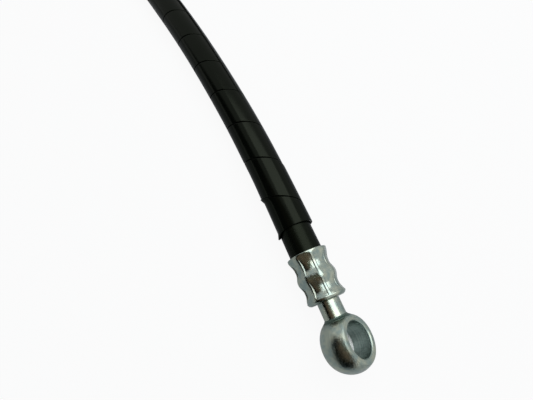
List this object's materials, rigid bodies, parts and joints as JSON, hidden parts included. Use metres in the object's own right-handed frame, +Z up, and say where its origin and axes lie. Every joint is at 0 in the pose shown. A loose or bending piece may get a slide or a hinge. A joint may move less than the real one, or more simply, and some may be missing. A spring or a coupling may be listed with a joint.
{
  "type": "hydraulic hose assembly",
  "caption": "Wire-braided rubber hydraulic hose in a black spiral guard, with a crimped steel ferrule and a ball-shaped banjo eye at each end; the spare length lies in a round coil",
  "frame": {"origin": "on the surface that the part lies on, below the middle of the near fitting's bounding box", "axes": "+Z up; +Y along the near fitting's axis, from its eye towards the hose; +X to the right, seen from the eye's end"},
  "size_m": [0.2073, 0.4447, 0.0355],
  "materials": {
    "plated_eye": "turned steel, bright zinc plate, bore left as turned",
    "plated_stem": "turned steel, bright zinc plate",
    "plated_ferrule": "drawn steel, bright zinc plate, jaw flats pressed smooth",
    "braze": "dark olive passivated braze fillet",
    "liner_rubber": "smooth oil-proof nitrile",
    "braid_wire": "brass-coated steel wire braid",
    "cover_rubber": "matte black rubber with a fine fabric print",
    "guard_plastic": "black polyethylene strip, satin gloss, faint olive cast"
  },
  "bodies": {
    "root": {"near_banjo_eye": "plated_eye", "near_hose_stem": "plated_stem", "near_braze_ring": "braze", "near_ferrule": "plated_ferrule", "hose_inner_tube": "liner_rubber", "hose_wire_braid": "braid_wire", "hose_outer_cover": "cover_rubber", "spiral_guard": "guard_plastic", "coil_inner_tube": "liner_rubber", "coil_wire_braid": "braid_wire", "coil_outer_cover": "cover_rubber", "coil_spiral_guard": "guard_plastic", "far_banjo_eye": "plated_eye", "far_hose_stem": "plated_stem", "far_braze_ring": "braze", "far_ferrule": "plated_ferrule"}
  },
  "joints": []
}
